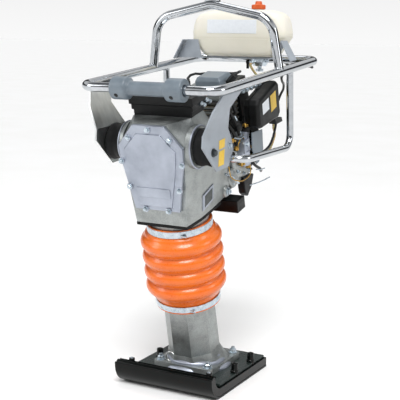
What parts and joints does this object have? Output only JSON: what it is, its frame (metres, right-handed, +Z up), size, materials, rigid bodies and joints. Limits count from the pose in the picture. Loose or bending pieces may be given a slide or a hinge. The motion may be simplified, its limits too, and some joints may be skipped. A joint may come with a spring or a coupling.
{
  "type": "tamping rammer",
  "caption": "Upright soil rammer: plated handle loop, engine and gear case riding on a leaning bellows-covered leg above a curled-front shoe.",
  "frame": {"origin": "middle of the sole's flat underside, on the ground", "axes": "+Z up; -Y the way the machine points, towards the loading roller and front cover; +X towards the air cleaner side"},
  "size_m": [0.4068, 0.6824, 1.0492],
  "materials": {
    "cast_alloy": "as-cast alloy, satin",
    "chrome_tube": "bright plated tube",
    "steel": "turned and ground steel",
    "zinc": "bluish zinc plate",
    "dark_steel": "dark green-grey paint",
    "sole_steel": "black paint worn to bare steel below",
    "shoe_block": "black, glossy edges",
    "rubber": "matt black",
    "bellows_rubber": "glossy orange",
    "grey_paint": "blue-grey semi-gloss paint",
    "plate_paint": "light grey paint",
    "black_plastic": "fine textured",
    "tank_plastic": "ivory, slightly cloudy",
    "cap_plastic": "orange",
    "hose_plastic": "clear beige hose"
  },
  "bodies": {
    "foot": {"wear_sole": "sole_steel", "shoe_body": "shoe_block", "shoe_top_plate": "dark_steel", "leg_casting": "cast_alloy", "leg_bolt_1": "zinc", "leg_bolt_2": "zinc", "leg_bolt_3": "zinc", "leg_bolt_4": "zinc", "spring_cylinder": "steel", "ram_piston": "cast_alloy", "lower_spring": "steel", "upper_spring": "steel", "piston_rod": "steel", "bellows": "bellows_rubber", "lower_clamp": "zinc"},
    "con_rod": {"connecting_rod": "steel"},
    "machine": {"gear_case": "cast_alloy", "front_cover": "cast_alloy", "base_gasket": "rubber", "guide_cylinder": "steel", "upper_clamp": "zinc", "left_mount": "rubber", "right_mount": "rubber", "crank_bearing": "steel", "pinion_bearing": "steel", "engine_block": "cast_alloy", "rocker_cover": "cast_alloy", "fan_shroud": "black_plastic", "recoil_housing": "black_plastic", "muffler": "sole_steel", "muffler_guard": "chrome_tube", "carburettor": "cast_alloy", "air_cleaner_case": "black_plastic", "air_cleaner_cover": "black_plastic", "plug_lead": "rubber", "engine_support": "dark_steel", "air_baffle": "black_plastic", "fuel_hose": "hose_plastic", "throttle_cable": "rubber"},
    "crank": {"crank_gear": "steel"},
    "drum": {"clutch_drum": "steel"},
    "engine_shaft": {"crankshaft_fan": "grey_paint"},
    "starter_pulley": {"starter_pulley": "black_plastic"},
    "starter_grip": {"starter_grip": "black_plastic"},
    "choke": {"choke_lever": "zinc"},
    "handle": {"handle_loop": "chrome_tube", "lifting_hoop": "chrome_tube", "lifting_eye": "chrome_tube", "left_guard": "chrome_tube", "right_guard": "chrome_tube", "left_side_plate": "plate_paint", "right_side_plate": "plate_paint", "fuel_tank": "tank_plastic", "tank_cradle": "plate_paint", "fuel_cock": "grey_paint", "throttle_bracket": "black_plastic"},
    "roller": {"loading_roller": "grey_paint"},
    "cap": {"fuel_cap": "cap_plastic"},
    "cock_lever": {"cock_lever": "black_plastic"},
    "throttle": {"throttle_lever": "black_plastic"}
  },
  "joints": [
    {"name": "rod_swing", "type": "hinge", "parent": "foot", "child": "con_rod", "pos_m": [0, -0.10375, 0.51819], "axis": [0, 0.9686, 0.2487], "range_deg": [-12, 12]},
    {"name": "ram_stroke", "type": "slide", "parent": "foot", "child": "machine", "axis": [0, -0.2487, 0.9686], "range_m": [0, 0.07], "deforming": ["bellows"]},
    {"name": "crank_turn", "type": "hinge", "parent": "machine", "child": "crank", "pos_m": [0, -0.11283, 0.65007], "axis": [0, 0.9686, 0.2487], "range_deg": [0, 180]},
    {"name": "drum_turn", "type": "hinge", "parent": "machine", "child": "drum", "pos_m": [0, -0.09045, 0.5629], "axis": [0, 0.9686, 0.2487], "range_deg": [-720, 0]},
    {"name": "engine_turn", "type": "hinge", "parent": "machine", "child": "engine_shaft", "pos_m": [0, 0.08002, 0.60667], "axis": [0, 0.9686, 0.2487], "continuous": true},
    {"name": "pulley_turn", "type": "hinge", "parent": "machine", "child": "starter_pulley", "pos_m": [0, 0.20593, 0.639], "axis": [0, 0.9686, 0.2487], "range_deg": [0, 545]},
    {"name": "starter_pull", "type": "slide", "parent": "machine", "child": "starter_grip", "axis": [-0.2772, -0.2389, 0.9306], "range_m": [0, 0.4]},
    {"name": "choke_swing", "type": "hinge", "parent": "machine", "child": "choke", "pos_m": [0.1145, 0.08, 0.6428], "axis": [-1, 0, 0], "range_deg": [0, 60]},
    {"name": "handle_flex", "type": "hinge", "parent": "machine", "child": "handle", "pos_m": [0, -0.17036, 0.65699], "axis": [1, 0, 0], "range_deg": [-2, 2], "stiffness_Nm_per_rad": 3000, "springref_deg": 0.77, "deforming": ["fuel_hose", "throttle_cable"]},
    {"name": "roller_turn", "type": "hinge", "parent": "handle", "child": "roller", "pos_m": [0, -0.25982, 0.79793], "axis": [1, 0, 0], "continuous": true},
    {"name": "cap_turn", "type": "hinge", "parent": "handle", "child": "cap", "pos_m": [0.042, 0.284, 1.01], "axis": [0, 0, 1], "range_deg": [0, 90]},
    {"name": "cock_turn", "type": "hinge", "parent": "handle", "child": "cock_lever", "pos_m": [0.025, 0.262, 0.857], "axis": [1, 0, 0], "range_deg": [0, 90]},
    {"name": "throttle_swing", "type": "hinge", "parent": "handle", "child": "throttle", "pos_m": [0.01, 0.36788, 0.89854], "axis": [0, -0.1052, 0.9944], "range_deg": [0, 35]}
  ],
  "couplings": [
    {"joint": "crank_turn", "follows": "ram_stroke", "rad_per_m": 44.88},
    {"joint": "drum_turn", "follows": "ram_stroke", "rad_per_m": -179.52},
    {"joint": "starter_pull", "follows": "pulley_turn", "m_per_rad": 0.042}
  ]
}
